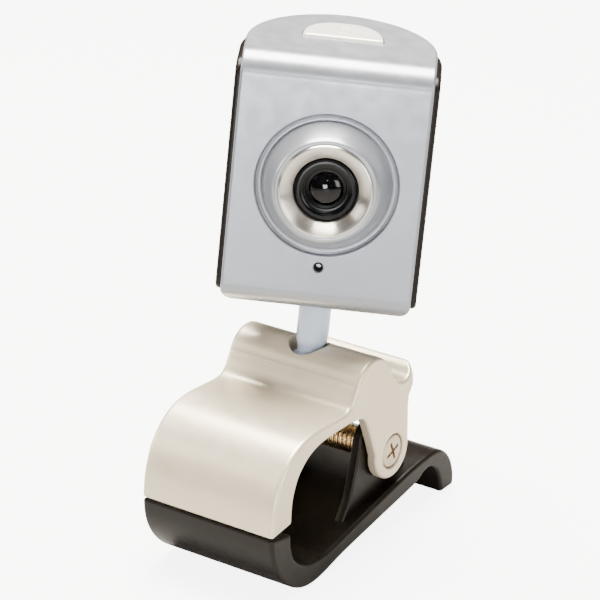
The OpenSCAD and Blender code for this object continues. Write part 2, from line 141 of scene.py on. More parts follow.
def new_piece(name, points, faces, smooth_angle=CREASE_ANGLE, uv=None):
    """A welded mesh object from points in metres and faces: outward, smooth below an angle."""
    mesh = bpy.data.meshes.new(name)
    mesh.from_pydata(np.asarray(points).tolist(), [], [list(map(int, face)) for face in faces])
    if uv is not None:
        layer = mesh.uv_layers.new(name="surface")
        corner = np.zeros(len(mesh.loops), np.int32)
        mesh.loops.foreach_get("vertex_index", corner)
        layer.data.foreach_set("uv", np.asarray(uv, np.float32)[corner].ravel())
    clean(mesh)
    piece = bpy.data.objects.new(name, mesh)
    bpy.context.scene.collection.objects.link(piece)
    shade(piece, smooth_angle)
    return piece


def clean(mesh):
    """Merges doubled points, drops empty faces and turns every face outwards."""
    work = bmesh.new()
    work.from_mesh(mesh)
    bmesh.ops.remove_doubles(work, verts=work.verts, dist=WELD)
    bmesh.ops.dissolve_degenerate(work, dist=WELD / 2, edges=work.edges)
    bmesh.ops.recalc_face_normals(work, faces=work.faces)
    work.to_mesh(mesh)
    work.free()


def shade(piece, angle):
    """Smooth shading, with edges sharper than the angle kept crisp."""
    mesh = piece.data
    mesh.polygons.foreach_set("use_smooth", np.ones(len(mesh.polygons), bool))
    mesh.set_sharp_from_angle(angle=math.radians(angle))


def bake(piece):
    """Applies the piece's modifiers to its mesh."""
    graph = bpy.context.evaluated_depsgraph_get()
    mesh = bpy.data.meshes.new_from_object(piece.evaluated_get(graph))
    piece.modifiers.clear()
    piece.data = mesh
    shade(piece, CREASE_ANGLE)


def soften(piece, edge, segments, limit):
    """Rounds every edge sharper than the limit angle."""
    bevel = piece.modifiers.new("edge", "BEVEL")
    bevel.width = edge * MM
    bevel.segments = segments
    bevel.limit_method = "ANGLE"
    bevel.angle_limit = math.radians(limit)
    bevel.harden_normals = False
    bevel.use_clamp_overlap = True


def combine(piece, other, how):
    """Adds another closed piece to this one or cuts it away, and removes the other."""
    step = piece.modifiers.new("step", "BOOLEAN")
    step.operation = how
    step.solver = "MANIFOLD"
    step.object = other
    bake(piece)
    bpy.data.objects.remove(other)


def lathe(name, profile, local, at=(0, 0, 0), axis="up", segments=128,
          smooth_angle=CREASE_ANGLE, phase=0.0):
    """An outline of (radius, height) points carried round an axis: it starts and ends on the
    axis, or else it closes on itself.

    The angle runs along one side of the grid and the outline along the other; the
    UV map holds (turn, length along the outline in millimetres)."""
    profile = np.asarray(profile, float)
    turn = math.radians(phase) + np.linspace(0, 2 * math.pi, segments, endpoint=False)
    radius, height = profile.T
    ring = np.stack([radius[None] * np.cos(turn)[:, None], radius[None] * np.sin(turn)[:, None],
                     np.broadcast_to(height, (segments, len(height)))], -1)
    length = np.concatenate([[0], np.cumsum(np.linalg.norm(np.diff(profile, axis=0), axis=1))])
    uv = np.stack(np.broadcast_arrays(turn[:, None] / (2 * math.pi), length[None]), -1)
    if axis == "lens":
        ring = ring[..., [0, 2, 1]] * np.array([1, -1, 1])
    if axis == "x":
        ring = ring[..., [2, 0, 1]]
    points = place(ring.reshape(-1, 3) + np.array(at), local)
    ring_shaped = min(radius[0], radius[-1]) > 0
    faces = grid_faces(segments, len(profile), wrap_rows=True, wrap_columns=ring_shaped)
    return new_piece(name, points, faces, smooth_angle, uv.reshape(-1, 2))


def plate(name, outline, local, x0, x1, edge, edge_in, steps=5):
    """A side outline of (y, z) points carried from x0 to x1, with rounded rims and flat flanks.

    At each rim the outline shrinks by edge times (1 - cos a) while x runs out by edge times
    sin a. The rim at x0 has the radius edge_in."""
    outline = counter_clockwise(np.asarray(outline, float))
    normal = outward(outline)
    rows = []
    for end, rim, angles in ((x0, edge_in, np.linspace(90, 0, steps + 1)),
                             (x1, edge, np.linspace(0, 90, steps + 1))):
        side = math.copysign(1, 2 * end - x0 - x1)
        for a in np.radians(angles):
            flat = outline - normal * rim * (1 - math.cos(a))
            reach = end - side * rim * (1 - math.sin(a))
            rows.append(np.column_stack([np.full(len(outline), reach), flat]))
    faces = capped_faces(len(rows), len(outline))
    return new_piece(name, place(np.vstack(rows), local), faces, 40.0)


def block(name, corner, size, local):
    """A closed box, used to cut."""
    signs = np.array([[i, j, k] for i in (0, 1) for j in (0, 1) for k in (0, 1)], float)
    points = np.array(corner) + signs * np.array(size)
    faces = [(0, 1, 3, 2), (4, 6, 7, 5), (0, 4, 5, 1), (2, 3, 7, 6), (0, 2, 6, 4), (1, 5, 7, 3)]
    return new_piece(name, place(points, local), faces)


def finish_piece(piece, body, slot, material, *nodes):
    """Rides the piece on its body, hides the given CAD nodes and gives the piece its material; slot is not used.
    """
    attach(piece, body)
    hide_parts(*nodes)
    piece.data.materials.clear()
    piece.data.materials.append(material)


# ------------------------------------------------------------------ the strap surface


def lengths(path):
    """Distance along a path at each of its points."""
    return np.concatenate([[0], np.cumsum(np.linalg.norm(np.diff(path, axis=0), axis=1))])


def resample(path, count):
    """The same path at count + 1 evenly spaced points."""
    path = np.asarray(path, float)
    s = lengths(path)
    at = np.linspace(0, s[-1], count + 1)
    return np.column_stack([np.interp(at, s, column) for column in path.T])


def pair(stretches):
    """Two matched curves from stretches of (outer part, inner part, number of steps)."""
    outer = [resample(a, n)[:-1] for a, b, n in stretches]
    inner = [resample(b, n)[:-1] for a, b, n in stretches]
    last = stretches[-1]
    return np.vstack(outer + [last[0][-1:]]), np.vstack(inner + [last[1][-1:]])


def strap(name, outer, inner, across, local, rim_outer, rim_inner, ends=(0.0, 0.0)):
    """A thick band between two curves.

    At each station the section is a rounded rectangle, from inner to outer one way and
    from -across to +across the other, with arcs of radius rim at its corners. Within
    `ends` millimetres of the first and last station it draws in along a quarter circle."""
    s = lengths((outer + inner) / 2)
    a = np.radians(np.linspace(0, 90, 6))
    bite = 1 - np.sin(a)
    first, last = ends
    near, far = first * (1 - np.cos(a)), s[-1] - last * (1 - np.cos(a))
    body = s[(s > first + 1e-6) & (s < s[-1] - last - 1e-6)]
    at = np.concatenate([near if first else s[:1], body, far[::-1] if last else s[-1:]])
    inset = np.concatenate([first * bite if first else [0.0], np.zeros(len(body)),
                            (last * bite)[::-1] if last else [0.0]])
    count = len(s)
    table = np.column_stack([outer, inner, across, np.broadcast_to(rim_outer, count),
                             np.broadcast_to(rim_inner, count)])
    table = np.column_stack([np.interp(at, s, column) for column in table.T])
    outer, inner, across = table[:, 0:3], table[:, 3:6], table[:, 6:9]
    half_t = np.linalg.norm(outer - inner, axis=1) / 2
    half_w = np.linalg.norm(across, axis=1)
    up = (outer - inner) / np.maximum(2 * half_t, 1e-6)[:, None]
    side = across / np.maximum(half_w, 1e-6)[:, None]
    reach_t, reach_w = np.maximum(half_t - inset, 1e-4), np.maximum(half_w - inset, 1e-4)
    columns_w, columns_t = [], []
    for quarter, rim in enumerate((table[:, 9], table[:, 9], table[:, 10], table[:, 10])):
        q = np.minimum(np.maximum(rim - inset, 0.02), 0.98 * np.minimum(reach_t, reach_w))
        margin = np.minimum(0.25, (np.minimum(reach_t, reach_w) - q) / 3)
        turn = np.radians(np.linspace(0, 90, 7) + 90 * quarter)
        sign_w = 1 if quarter in (0, 3) else -1
        sign_t = 1 if quarter in (0, 1) else -1
        w = sign_w * (reach_w - q)[:, None] + q[:, None] * np.cos(turn)
        t = sign_t * (reach_t - q)[:, None] + q[:, None] * np.sin(turn)
        before = np.array([np.sin(turn[0]), -np.cos(turn[0])]) * margin[:, None]
        after = np.array([-np.sin(turn[-1]), np.cos(turn[-1])]) * margin[:, None]
        columns_w.append(np.column_stack([w[:, 0] + before[:, 0], w, w[:, -1] + after[:, 0]]))
        columns_t.append(np.column_stack([t[:, 0] + before[:, 1], t, t[:, -1] + after[:, 1]]))
    w, t = np.hstack(columns_w), np.hstack(columns_t)
    middle = ((outer + inner) / 2)[:, None]
    points = middle + w[..., None] * side[:, None] + t[..., None] * up[:, None]
    return new_piece(name, place(points.reshape(-1, 3), local), capped_faces(*w.shape), 40.0)


def pad(name, outline, local, low, high, edge):
    """A cushion over a plan outline: upright walls from low(y), a rim that rounds in along a
    quarter circle, and a top that follows high(y) in rings drawn towards the middle."""
    outline = counter_clockwise(np.asarray(outline, float))
    normal, middle = outward(outline), outline.mean(0)
    rows = [np.column_stack([outline, low(outline[:, 1])])]
    for a in np.radians(np.linspace(0, 90, 7)):
        flat = outline - normal * edge * (1 - math.cos(a))
        rows.append(np.column_stack([flat, high(flat[:, 1]) - edge * (1 - math.sin(a))]))
    for share in (0.9, 0.7, 0.45, 0.2):
        flat = middle + (outline - normal * edge - middle) * share
        rows.append(np.column_stack([flat, high(flat[:, 1])]))
    faces = capped_faces(len(rows), len(outline))
    return new_piece(name, place(np.vstack(rows), local), faces, 40.0)


def tube(name, path, radius, local, sides=12, closed=False):
    """A round wire along a path: a circle square to the path at every point, with flat ends, or
    run on into its own start where the path is closed."""
    path = np.asarray(path, float)
    along = np.roll(path, -1, 0) - np.roll(path, 1, 0) if closed else np.gradient(path, axis=0)
    along /= np.linalg.norm(along, axis=1)[:, None]
    u = np.cross(along, [0.9, 0.3, 0.31])
    u /= np.linalg.norm(u, axis=1)[:, None]
    v = np.cross(along, u)
    a = np.linspace(0, 2 * math.pi, sides, endpoint=False)
    round_path = np.cos(a)[:, None] * u[:, None] + np.sin(a)[:, None] * v[:, None]
    rings = path[:, None] + radius * round_path
    turn, run = np.meshgrid(a / (2 * math.pi), lengths(path))
    wrapped = grid_faces(len(path), sides, wrap_rows=True, wrap_columns=True)
    faces = wrapped if closed else capped_faces(len(path), sides)
    uv = np.column_stack([turn.ravel(), run.ravel()])
    return new_piece(name, place(rings.reshape(-1, 3), local), faces, 50.0, uv)


# ------------------------------------------------------------------ finishes

# Width of one pearl flake's cell in millimetres
FLAKE_SIZE = 0.16


def start_material(name, **settings):
    """A Principled material with constants set on its own sockets, and its Object coordinates."""
    material = bpy.data.materials.new(name)
    material.use_nodes = True
    tree = material.node_tree
    shader = tree.nodes["Principled BSDF"]
    for socket, value in settings.items():
        shader.inputs[socket].default_value = value
    return material, tree, shader, tree.nodes.new("ShaderNodeTexCoord")


def noise(tree, vector, size_mm, detail=3.0):
    """Noise whose lumps are about size_mm across."""
    node = tree.nodes.new("ShaderNodeTexNoise")
    node.inputs["Scale"].default_value = 1 / (size_mm * MM)
    node.inputs["Detail"].default_value = detail
    tree.links.new(vector, node.inputs["Vector"])
    return node.outputs["Fac"]


def ramp(tree, factor, stops):
    """Colours by factor: stops are (position, colour)."""
    node = tree.nodes.new("ShaderNodeValToRGB")
    elements = node.color_ramp.elements
    while len(elements) < len(stops):
        elements.new(0.5)
    for element, (position, colour) in zip(elements, stops):
        element.position = position
        element.color = (*colour, 1.0)
    tree.links.new(factor, node.inputs["Fac"])
    return node.outputs["Color"]


def spread(tree, factor, low, high):
    """A number between low and high by factor."""
    node = tree.nodes.new("ShaderNodeMapRange")
    node.inputs["From Min"].default_value = 0.3
    node.inputs["From Max"].default_value = 0.7
    node.inputs["To Min"].default_value = low
    node.inputs["To Max"].default_value = high
    tree.links.new(factor, node.inputs["Value"])
    return node.outputs["Result"]


def relief(tree, shader, height, depth_mm):
    """Adds a height to the shader's normal, depth_mm deep."""
    node = tree.nodes.new("ShaderNodeBump")
    node.inputs["Distance"].default_value = depth_mm * MM
    tree.links.new(height, node.inputs["Height"])
    tree.links.new(node.outputs["Normal"], shader.inputs["Normal"])


def shades(colour, amount):
    """A darker and a lighter version of a colour."""
    return [tuple(min(1.0, c * (1 + sign * amount)) for c in colour[:3]) for sign in (-1, 1)]


def moulded(name, colour, roughness, grain_mm, grain_depth, mottle=0.04, mottle_mm=7.0, flake=0.0,
            **settings):
    """Moulded plastic or rubber: cloudy colour, fine skin grain and uneven gloss.

    With flake, tiny cells of differing brightness stand for the pearl pigment."""
    material, tree, shader, place_on = start_material(name, **settings)
    at = place_on.outputs["Object"]
    dark, light = shades(colour, mottle)
    cloud = ramp(tree, noise(tree, at, mottle_mm), [(0.3, dark), (0.7, light)])
    if flake:
        cells = tree.nodes.new("ShaderNodeTexVoronoi")
        cells.inputs["Scale"].default_value = 1 / (FLAKE_SIZE * MM)
        tree.links.new(at, cells.inputs["Vector"])
        grey = tree.nodes.new("ShaderNodeSeparateColor")
        tree.links.new(cells.outputs["Color"], grey.inputs["Color"])
        low, high = 1 - flake, 1 + flake
        tint = ramp(tree, grey.outputs["Red"], [(0.0, (low,) * 3), (1.0, (high,) * 3)])
        mix = tree.nodes.new("ShaderNodeMix")
        mix.data_type, mix.blend_type = "RGBA", "MULTIPLY"
        mix.inputs["Factor"].default_value = 1.0
        tree.links.new(cloud, mix.inputs["A"])
        tree.links.new(tint, mix.inputs["B"])
        cloud = mix.outputs["Result"]
    tree.links.new(cloud, shader.inputs["Base Color"])
    gloss = spread(tree, noise(tree, at, 3.1, 4.0), roughness - 0.04, roughness + 0.05)
    tree.links.new(gloss, shader.inputs["Roughness"])
    relief(tree, shader, noise(tree, at, grain_mm, 2.0), grain_depth)
    return material


def turned_metal(name, colour, roughness, pitch_mm, groove_depth, **settings):
    """Metal with tool marks: rings along the surface's own length, and faint cloudy tarnish."""
    material, tree, shader, place_on = start_material(name, Metallic=1.0, **settings)
    at = place_on.outputs["Object"]
    dark, light = shades(colour, 0.05)
    tree.links.new(ramp(tree, noise(tree, at, 2.0), [(0.3, dark), (0.7, light)]),
                   shader.inputs["Base Color"])
    marks = tree.nodes.new("ShaderNodeTexNoise")
    marks.noise_dimensions = "1D"
    marks.inputs["Scale"].default_value = 1 / pitch_mm
    marks.inputs["Detail"].default_value = 2.0
    split = tree.nodes.new("ShaderNodeSeparateXYZ")
    tree.links.new(place_on.outputs["UV"], split.inputs["Vector"])
    tree.links.new(split.outputs["Y"], marks.inputs["W"])
    gloss = spread(tree, marks.outputs["Fac"], roughness * 0.85, roughness * 1.2)
    tree.links.new(gloss, shader.inputs["Roughness"])
    relief(tree, shader, marks.outputs["Fac"], groove_depth)
    along = tree.nodes.new("ShaderNodeTangent")
    along.direction_type = "UV_MAP"
    tree.links.new(along.outputs["Tangent"], shader.inputs["Tangent"])
    return material


def plain_metal(name, colour, roughness, grain_mm=0.4):
    """Plated or rolled metal: cloudy tone, uneven gloss and a fine pitted skin."""
    return moulded(name, colour, roughness, grain_mm, 0.004, 0.07, 1.5, Metallic=1.0)


# ------------------------------------------------------------------ settings


def colour_setting(name, description, default):
    return FloatVectorProperty(name=name, description=description, subtype="COLOR", size=3,
                               default=default, min=0.0, max=1.0)


def length_setting(name, description, default, low, high):
    return FloatProperty(name=name, description=description, default=default, min=low, max=high,
                         unit="LENGTH")


class WebcamSizes(bpy.types.PropertyGroup):
    """Sizes that a user would change"""

    clip_width: length_setting("Clip width", "Width of both jaws", 0.032, 0.028, 0.034)
    jaw_rim: length_setting("Jaw rim", "Rounding of the jaws' long edges", 0.0008, 0.0002, 0.0011)
    head_width: length_setting("Head width", "Width of the pearl band of the head",
                               0.0379, 0.034, 0.038)
    cheek: length_setting("Cheek", "How far the dark cheeks stand out of the band",
                          0.0011, 0.0004, 0.0012)
    band_rim: length_setting("Band rim", "Rounding of the pearl band's edges",
                             0.0005, 0.0002, 0.0008)
    boss_height: length_setting("Boss height", "Height of the lens boss over the face",
                                0.0052, 0.004, 0.0054)
    coil_turns: IntProperty(name="Coil turns", description="Turns of the jaw spring", default=15,
                            min=9, max=15)


class WebcamColours(bpy.types.PropertyGroup):
    """Colours of the visible finishes"""

    # painted light: the head shares the clip's pearl plastic, and its colour is painted cool and dark to stand for
    # the flash and the shade on the face
    head_pearl_painted_cool_shade: colour_setting("Head pearl", "Pearl plastic of the head", (0.27, 0.282, 0.315))
    # painted light: the same pearl plastic as the head, its colour painted warm cream to stand for the warm lamp
    # on the clip
    clip_pearl_painted_warm_light: colour_setting("Clip pearl", "Pearl plastic of the upper jaw", (0.68, 0.585, 0.44))
    button_pearl: colour_setting("Button", "Snapshot button", (0.66, 0.63, 0.57))
    dark: colour_setting("Dark plastic", "Lower jaw and rear shell", (0.0055, 0.0038, 0.0025))
    stalk: colour_setting("Stalk", "Glossy stalk", (0.46, 0.54, 0.68))
    spring: colour_setting("Spring", "Zinc-plated spring wire", (0.66, 0.48, 0.26))
    screw: colour_setting("Screw", "Nickel-plated pivot screw", (0.52, 0.43, 0.32))
    bezel: colour_setting("Bezel", "Bright turned lens bezel", (0.60, 0.565, 0.51))


class Builder:
    """What every builder of a piece shares: it runs build() with the scene's settings"""

    bl_options = {"REGISTER", "UNDO"}

    def execute(self, context):
        self.build(context.scene.webcam_sizes, context.scene.webcam_colours)
        return {"FINISHED"}


# ------------------------------------------------------------------ clip

# Side outlines about the pivot, as (y, z) in millimetres
UPPER_FRONT = [(-42.7, -1.75), (-42.4, 1.5), (-41.6, 5), (-39.7, 9.2), (-36.6, 12.6), (-32.5, 14.9),
               (-27.8, 15.7), (-23, 15.5), (-18.5, 15.2), (-16, 15.6), (-14.3, 17.2), (-13.1, 19.3)]
UPPER_INSIDE = [(-35.9, -0.9), (-35.3, 3.9), (-33.7, 7.6), (-31.7, 9.7), (-29.5, 11.1), (-26.7, 12),
                (-23.5, 12.4), (-18, 12.45), (-13, 12.4)]
TAB_TOP = [(-4.2, 22.7), (-3.2, 22), (-1, 18.6), (1.2, 15.6), (3.8, 14.4), (6.2, 14.6), (8.1, 15.7),
           (9.6, 16.2), (10.4, 15.4)]
TAB_UNDER = [(6, 11.4), (8.2, 12.1), (10, 13.6), (10.4, 15.4)]
LOWER_UNDER = [(-42.7, -1.85), (-42.4, -5.6), (-41.3, -9), (-39.2, -12.2), (-36.4, -14.9),
               (-33, -16.9), (-29.3, -17.68), (-25, -17.3), (-18, -15.8), (-6, -13.95),
               (8.5, -11.7), (12, -10.3), (14.6, -10), (16.9, -11.4), (18.2, -13.7),
               (18.8, -16.2), (18.9, -17.7)]
LOWER_OVER = [(-36.1, -3.4), (-36, -6.2), (-35, -9.1), (-32.9, -11.3), (-29.8, -12.6), (-26, -13),
              (-22.5, -12.75), (-12, -10.8), (2.7, -8.2), (9, -7.3), (14.5, -6.9), (18, -7.3),
              (20.7, -8.7), (22.8, -11.1), (24, -14.3), (24.1, -17.7)]
STEPS = 10
BARREL = (-7.2, 17.5)
BARREL_RADIUS = 6.0
EAR_RADIUS = 6.0
EAR_THICKNESS = 2.4
FIN_RADIUS = 9.3
FIN_THICKNESS = 2
SIDE_GAP = 0.4
TAB_CORNER = 5.0
TAB_TIP = 10.5


def side_points(path):
    """A side outline of (y, z) points as points in the plane x = 0."""
    path = np.asarray(path, float)
    return np.column_stack([np.zeros(len(path)), path])


def knots(curve, first, last):
    """The stretch of a smooth curve between two of its knots."""
    return curve[first * STEPS : last * STEPS + 1]


class WEBCAM_OT_upper_jaw(Builder, bpy.types.Operator):
    """Pearl upper jaw: a curved panel with a barrel for the ball, a thumb tab and two ears"""

    bl_idname = "webcam.upper_jaw"
    bl_label = "Upper Jaw"

    def build(self, sizes, colours):
        half = sizes.clip_width / MM / 2
        rim = sizes.jaw_rim / MM
        front, inside = smooth_curve(UPPER_FRONT, STEPS), smooth_curve(UPPER_INSIDE, STEPS)
        tab, under = smooth_curve(TAB_TOP, STEPS), smooth_curve(TAB_UNDER, STEPS)
        hill = np.vstack([knots(front, 9, 11)[:-1], arc(BARREL, BARREL_RADIUS, 163, 60, 40),
                          knots(tab, 1, 3)])
        outer, inner = pair([
            (knots(front, 0, 6), knots(inside, 0, 5), 44),
            (knots(front, 6, 9), knots(inside, 5, 8), 20),
            (hill, np.array([(-13, 12.4), (1.5, 11.6)]), 60),
            (knots(tab, 3, 8), np.vstack([[(1.5, 11.6)], under]), 36)])
        y = (outer[:, 0] + inner[:, 0]) / 2
        corner = np.clip(y - (TAB_TIP - TAB_CORNER), 0, TAB_CORNER)
        width = half - TAB_CORNER + np.sqrt(TAB_CORNER**2 - corner**2)
        across = np.column_stack([width, 0 * y, 0 * y])
        # the panel's lower rim turns sharp where the ears' flat sides run on from it
        sharp = np.interp(y, [-16.5, -14.5, 5.0, 6.5], [rim, 0.03, 0.03, rim])
        panel = strap("upper_jaw_shell", side_points(outer), side_points(inner), across,
                      CLIP_FRAME, rim, sharp, (0.6, 0.0))
        ear_low = EAR_RADIUS * np.array([math.cos(math.radians(173)), math.sin(math.radians(173))])
        ear = np.vstack([
            smooth_curve([(-14.2, 13.3), (-13.6, 12.5), (-11.6, 11.9), (-9.6, 10.2), (-7.6, 5.5),
                          ear_low], 6),
            arc((0, 0), EAR_RADIUS, 180, 360, 32),
            [(EAR_RADIUS, 8.5), (EAR_RADIUS + 0.3, 10.4), (EAR_RADIUS + 1.2, 11.5),
             (EAR_RADIUS + 1.2, 13.3)]])
        for sign in (-1, 1):
            side = plate(f"ear_{sign}", ear, CLIP_FRAME, sign * (half - EAR_THICKNESS),
                         sign * (half - 0.006), rim, 0.35)
            combine(panel, side, "UNION")
        mouth = [*arc((0, 0), 4.8, -90, 33, 16).tolist(), (4.0, 2.6), (4.0, 3.3), (4.1, 4.6),
                 (4.2, 5.6), (4.45, 6.02), (4.8, 6.3), (4.8, 9), (0, 9)]
        hole = lathe("mouth", mouth, CLIP_FRAME, at=(0, *BARREL), segments=96)
        combine(panel, hole, "DIFFERENCE")
        seat = lathe("screw_seat", [(0, half - 1.25), (3.75, half - 1.25), (3.78, half - 0.2),
                                    (4.0, half + 0.05), (4.0, half + 1), (0, half + 1)],
                     CLIP_FRAME, axis="x", segments=72)
        combine(panel, seat, "DIFFERENCE")
        nut = lathe("nut_seat", [(0, -half - 1), (3.15, -half - 1), (3.15, 1.55 - half),
                                 (0, 1.55 - half)],
                    CLIP_FRAME, axis="x", segments=6, phase=90.0)
        combine(panel, nut, "DIFFERENCE")
        # the clip's pearl colour holds painted light: warm cream for the warm lamp falling on it
        pearl = moulded("clip_pearl_painted_warm_light", colours.clip_pearl_painted_warm_light, 0.36, 0.35, 0.004, 0.02, 9.0, 0.05,
                        **{"Metallic": 0.5, "Coat Weight": 0.25, "Coat Roughness": 0.2})
        finish_piece(panel, "clip_top", "pearl_plastic", pearl, "upper_jaw")


class WEBCAM_OT_lower_jaw(Builder, bpy.types.Operator):
    """Dark lower jaw: one bent strip from the lip to the foot, with two fins up to the pivot"""

    bl_idname = "webcam.lower_jaw"
    bl_label = "Lower Jaw"

    def build(self, sizes, colours):
        half = sizes.clip_width / MM / 2
        rim = sizes.jaw_rim / MM
        under, over = smooth_curve(LOWER_UNDER, STEPS), smooth_curve(LOWER_OVER, STEPS)
        outer, inner = pair([
            (knots(under, 0, 6), knots(over, 0, 5), 44),
            (knots(under, 6, 12), knots(over, 5, 10), 70),
            (knots(under, 12, 16), knots(over, 10, 15), 30)])
        across = np.broadcast_to([half, 0.0, 0.0], (len(outer), 3))
        strip = strap("lower_jaw_shell", side_points(outer), side_points(inner), across, CLIP_FRAME,
                      rim, rim, (0.6, 0.5))
        fin = np.vstack([
            smooth_curve([(-16.6, -13.4), (-14.5, -11.4), (-11.5, -7), (-9.3, -1), (-7.7, 5.2)], 8),
            arc((0, 0), FIN_RADIUS, 146, 36, 32),
            [(7.6, 2), (8.0, -4.5), (9.2, -8.6), (9.2, -9.6)]])
        reach = half - EAR_THICKNESS - SIDE_GAP
        for sign in (-1, 1):
            side = plate(f"fin_{sign}", fin, CLIP_FRAME, sign * (reach - FIN_THICKNESS),
                         sign * reach, 0.45, 0.3)
            combine(strip, side, "UNION")
        finish_piece(strip, "clip_base", "dark_plastic", dark_plastic(colours), "lower_jaw")


def dark_plastic(colours):
    """The satin brown-black plastic, made once."""
    return bpy.data.materials.get("dark_satin") or moulded(
        "dark_satin", colours.dark, 0.34, 0.22, 0.006, 0.10, 8.0,
        **{"Specular IOR Level": 0.18})


class WEBCAM_OT_pivot(Builder, bpy.types.Operator):
    """Pivot screw with a crossed recess, and the spring wound round it"""

    bl_idname = "webcam.pivot"
    bl_label = "Pivot Screw and Spring"

    def build(self, sizes, colours):
        half = sizes.clip_width / MM / 2
        head, seat, crown = 3.5, half - 1.2, half - 0.02
        profile = [(0, -half + 0.25), (1.2, -half + 0.25), (1.5, -half + 0.55), (1.5, seat),
                   (head, seat), (head, crown - 0.5), (head - 0.1, crown - 0.28),
                   (head - 0.5, crown - 0.14), (2.0, crown - 0.03), (0, crown)]
        screw = lathe("pivot_screw_body", profile, CLIP_FRAME, axis="x", segments=96)
        slot_depth, slot_length, slot_width = 1.15, 4.3, 0.68
        for turn in (20, 110):
            slot = block("slot", (crown - slot_depth, -slot_length / 2, -slot_width / 2),
                         (2, slot_length, slot_width), CLIP_FRAME)
            slot.data.transform(about_x(turn))
            combine(screw, slot, "DIFFERENCE")
        soften(screw, 0.06, 2, 45.0)
        bake(screw)
        finish_piece(screw, "clip_top", "nickel_screw",
                     turned_metal("nickel", colours.screw, 0.30, 0.09, 0.002), "pivot_screw")

        first, last, coil, wire = 68.0, -43.0, 2.5, 0.5
        turns = sizes.coil_turns * 360 + last - first + 180
        t = np.linspace(0, 1, sizes.coil_turns * 30 + 1)
        a = np.radians(first + 90 + t * turns)
        helix = np.column_stack([8.0 * (2 * t - 1), coil * np.cos(a), coil * np.sin(a)])
        legs = [helix[i] + reach * np.array([0, math.cos(b), math.sin(b)])
                for i, b, reach in ((0, math.radians(first), 10.2), (-1, math.radians(last), 8.0))]
        start = legs[0] + (helix[0] - legs[0]) * np.linspace(0, 1, 16, endpoint=False)[:, None]
        finish = helix[-1] + (legs[1] - helix[-1]) * np.linspace(0, 1, 16)[1:, None]
        spring = tube("torsion_spring_wire", np.vstack([start, helix, finish]), wire, CLIP_FRAME)
        finish_piece(spring, "clip_base", "spring_wire",
                     plain_metal("spring_zinc", colours.spring, 0.26), "torsion_spring")


def about_x(angle):
    """A turn about the pivot axis, in degrees, in the row frame."""
    centre = Vector(PIVOT * MM)
    return (Matrix.Translation(centre) @ Matrix.Rotation(math.radians(angle), 4, "X")
            @ Matrix.Translation(-centre))


class WEBCAM_OT_stalk(Builder, bpy.types.Operator):
    """Glossy stalk: ball, neck and post, with the spigot that carries the head"""

    bl_idname = "webcam.stalk"
    bl_label = "Stalk"

    def build(self, sizes, colours):
        ball, post = 4.75, 3.3
        profile = np.vstack([
            arc((0, 0), ball, -90, 52, 40),
            smooth_curve([(2.95, 3.75), (2.85, 4.7), (3.1, 5.5), (post, 6.4)], 6)[1:],
            [(post, 12), (post, 18.0), (post - 0.2, 18.2), (2.4, 18.2), (2.4, 22.6), (1.8, 22.6),
             (1.8, 23.22), (2.4, 23.22), (2.4, 24.3), (2.2, 24.5), (0, 24.5)]])
        piece = lathe("stalk_post", profile, STALK_FRAME, segments=96)
        gloss = moulded("stalk_gloss", colours.stalk, 0.16, 0.5, 0.001, 0.015, 6.0,
                        **{"Coat Weight": 0.6, "Coat Roughness": 0.06})
        finish_piece(piece, "stalk", "stalk_plastic", gloss, "stalk")


# ------------------------------------------------------------------ head

WALL = 1.8
BASE_Z, TOP_Z = 15.2, 65.2
TOP_SLOPE = math.tan(math.radians(12))
BACK_Y, PLAN_MID = 13.0, -2.0
EDGE_RADIUS, BROW_RADIUS = 4.0, 5.0
CHIN_CORNER = 2.6
MIC_DROP = 16.6
INLET_Z = BASE_Z + 7
CASE_SCREWS = [(x, 0, z) for x in (-13.6, 13.6) for z in (28, 56)]
WELL_FLOOR = -7.3
BUTTON_HALF, BUTTON_DEPTH, BUTTON_Y = 8.05, 7.4, 0.5


def roof(y):
    """Height of the head's sloping top at depth y."""
    return TOP_Z + (y + FACE_DEPTH) * TOP_SLOPE


def band_side(inset):
    """Side outline of the pearl band, drawn in by inset: under, round the chin, up and over."""
    front, low = -FACE_DEPTH + inset, BASE_Z + inset
    chin, brow = EDGE_RADIUS - inset, BROW_RADIUS - inset
    lift = inset / math.cos(math.atan(TOP_SLOPE))
    depth = PLAN_MID + (BACK_Y - PLAN_MID) * np.sin(np.radians(np.linspace(90, 0, 40)))
    under = np.column_stack([depth, np.full(40, low)])
    run = np.linspace(PLAN_MID, front + chin, 8)[1:-1]
    under = np.vstack([under, np.column_stack([run, np.full(6, low)])])
    top_arc = arc((front + brow, roof(front) - lift - brow * 0.8), brow, 180, 102, 16)
    face = np.linspace(low + chin, top_arc[0, 1], 40)[1:-1]
    rest = np.linspace(top_arc[-1, 0], PLAN_MID, 8)[1:-1]
    back = np.concatenate([rest, depth[::-1]])
    return np.vstack([under, arc((front + chin, low + chin), chin, 270, 180, 16),
                      np.column_stack([np.full(38, front), face]), top_arc,
                      np.column_stack([back, roof(back) - lift])])


def plan_half(y, half):
    """Half width of the head's plan at depth y: straight sides, then half an ellipse."""
    share = np.clip((y - PLAN_MID) / (BACK_Y - PLAN_MID), 0, 1)
    return half * np.sqrt(1 - share**2)


def button_outline(gap):
    """Plan of the snapshot button, grown by gap: straight front edge and an arched back."""
    a = np.radians(np.linspace(0, 180, 61))
    soft = np.sign(np.cos(a)) * np.abs(np.cos(a)) ** 0.83
    arched = np.column_stack([(BUTTON_HALF + gap) * soft,
                              BUTTON_Y + (BUTTON_DEPTH + gap) * np.sin(a) ** 0.83])
    x = np.linspace(-BUTTON_HALF - gap, BUTTON_HALF + gap, 33)
    return np.vstack([arched, np.column_stack([x, np.full(33, BUTTON_Y - gap)])[1:-1]])


